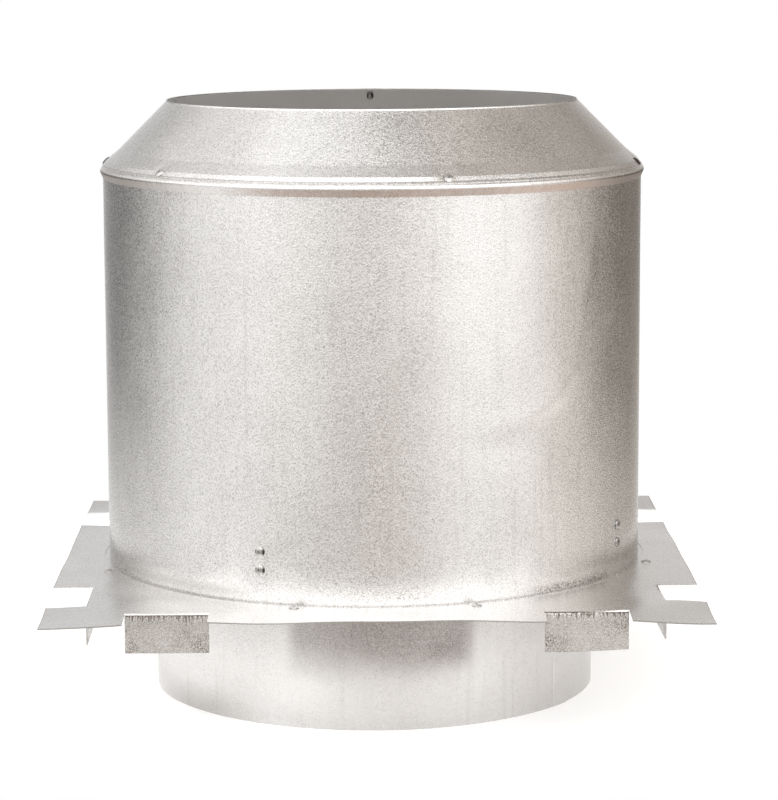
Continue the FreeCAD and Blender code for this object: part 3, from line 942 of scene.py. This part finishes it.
def floor_material(glow):
    """Pale floor that the camera and the metal see as white but for the object's shadow."""
    material, graph = new_material("pale_floor")
    paint = graph.add("BsdfDiffuse", {"Color": (0.86, 0.86, 0.86, 1.0)})
    light = graph.add("Emission", {"Color": (1.0, 1.0, 1.0, 1.0), "Strength": glow})
    both = graph.add("AddShader", {0: paint.outputs[0], 1: light.outputs[0]})
    rays = graph.add("LightPath").outputs
    seen = graph.sum(rays["Is Camera Ray"], rays["Is Glossy Ray"], rays["Is Transmission Ray"])
    mixed = graph.add("MixShader", {0: seen, 1: paint.outputs[0], 2: both.outputs[0]})
    graph.add("OutputMaterial", {"Surface": mixed.outputs[0]})
    return material


def add_lamp(scene, name, power, place):
    """Area lamp with its power in watts, at its place, looking down."""
    lamp = bpy.data.lights.new(name, "AREA")
    lamp.energy = power
    lamp_object = bpy.data.objects.new(name, lamp)
    lamp_object.location = place
    scene.collection.objects.link(lamp_object)
    return lamp_object


class SHIELD_OT_studio(bpy.types.Operator):
    """Floor, lamps, tent and camera"""
    bl_idname = "shield.studio"
    bl_label = "Studio"

    def execute(self, context):
        scene, studio = context.scene, context.scene.shield_studio
        self.add_floor(scene, studio)
        self.add_lamps(scene, studio)
        studio_world()
        self.place_camera(scene, studio)
        scene.view_settings.view_transform = "Standard"
        return {"FINISHED"}

    def add_floor(self, scene, studio):
        """Round floor: rings of points on circles, with one face in the middle."""
        azimuth = np.linspace(0, 2 * math.pi, FLOOR_SIDES, endpoint=False)
        radius = studio.floor_radius * np.array(FLOOR_RINGS)[:, None]
        points = np.stack([radius * np.cos(azimuth), radius * np.sin(azimuth) + studio.floor_back,
                           0 * radius * azimuth], -1)
        faces = grid_faces(len(FLOOR_RINGS), FLOOR_SIDES, False, True)[:, ::-1].tolist()
        inmost = (len(FLOOR_RINGS) - 1) * FLOOR_SIDES
        faces.append(list(range(inmost, inmost + FLOOR_SIDES)))
        mesh = bpy.data.meshes.new("floor")
        mesh.from_pydata(points.reshape(-1, 3).tolist(), [], faces)
        mesh.materials.append(floor_material(studio.floor_glow))
        floor = bpy.data.objects.new("floor", mesh)
        scene.collection.objects.link(floor)

    def add_lamps(self, scene, studio):
        """Large lamp overhead, and a round one that throws light up inside the shell."""
        overhead = add_lamp(scene, "overhead_softbox", studio.lamp_power, studio.lamp_place)
        overhead.data.shape = "RECTANGLE"
        overhead.data.size, overhead.data.size_y = studio.lamp_width, studio.lamp_depth
        line = Vector(studio.lamp_aim) - overhead.location
        overhead.rotation_euler = line.to_track_quat("-Z", "Y").to_euler()
        bounce = add_lamp(scene, "inside_bounce", studio.bounce_power, (0.0, 0.0, studio.bounce_height))
        bounce.data.shape, bounce.data.size = "DISK", studio.bounce_width
        bounce.rotation_euler = (math.pi, 0.0, 0.0)
        bounce.visible_camera = False

    def place_camera(self, scene, studio):
        """Camera at its place, turned by yaw, pitch and roll from a level look along +Y."""
        data = bpy.data.cameras.new("camera")
        data.lens = studio.lens
        data.clip_start, data.clip_end = 0.05, 50.0
        camera = bpy.data.objects.new("camera", data)
        level = Matrix.Rotation(math.pi / 2, 4, "X")
        turned = (Matrix.Rotation(-studio.camera_yaw, 4, "Z") @ level
                  @ Matrix.Rotation(studio.camera_pitch, 4, "X")
                  @ Matrix.Rotation(studio.camera_roll, 4, "Z"))
        camera.matrix_world = Matrix.Translation(studio.camera_place) @ turned
        scene.collection.objects.link(camera)
        scene.camera = camera


# Panel and registration

class SHIELD_PT_panel(bpy.types.Panel):
    """Lists the shield's operators and properties"""
    bl_label = "Attic Shield"
    bl_space_type = "VIEW_3D"
    bl_region_type = "UI"
    bl_category = "Attic Shield"

    def draw(self, context):
        for operator in OPERATORS:
            self.layout.operator(operator.bl_idname)
        for name, group in GROUPS.items():
            box = self.layout.box()
            box.label(text=group.__doc__)
            for prop in group.__annotations__:
                box.prop(getattr(context.scene, name), prop)


OPERATORS = (
    SHIELD_OT_shell,
    SHIELD_OT_collar,
    SHIELD_OT_sleeve,
    SHIELD_OT_plate,
    SHIELD_OT_fasteners,
    SHIELD_OT_studio,
)
CLASSES = (*GROUPS.values(), *OPERATORS, SHIELD_PT_panel)


def register():
    """Registers the classes and their properties."""
    for cls in CLASSES:
        bpy.utils.register_class(cls)
    for name, group in GROUPS.items():
        setattr(bpy.types.Scene, name, PointerProperty(type=group))


def unregister():
    """Removes the properties and the classes."""
    for name in GROUPS:
        delattr(bpy.types.Scene, name)
    for cls in reversed(CLASSES):
        bpy.utils.unregister_class(cls)


def main():
    """Builds the pieces and the studio."""
    register()
    bpy.ops.shield.shell()
    bpy.ops.shield.collar()
    bpy.ops.shield.sleeve()
    bpy.ops.shield.plate()
    bpy.ops.shield.fasteners()
    bpy.ops.shield.studio()


if __name__ == "__main__":
    main()
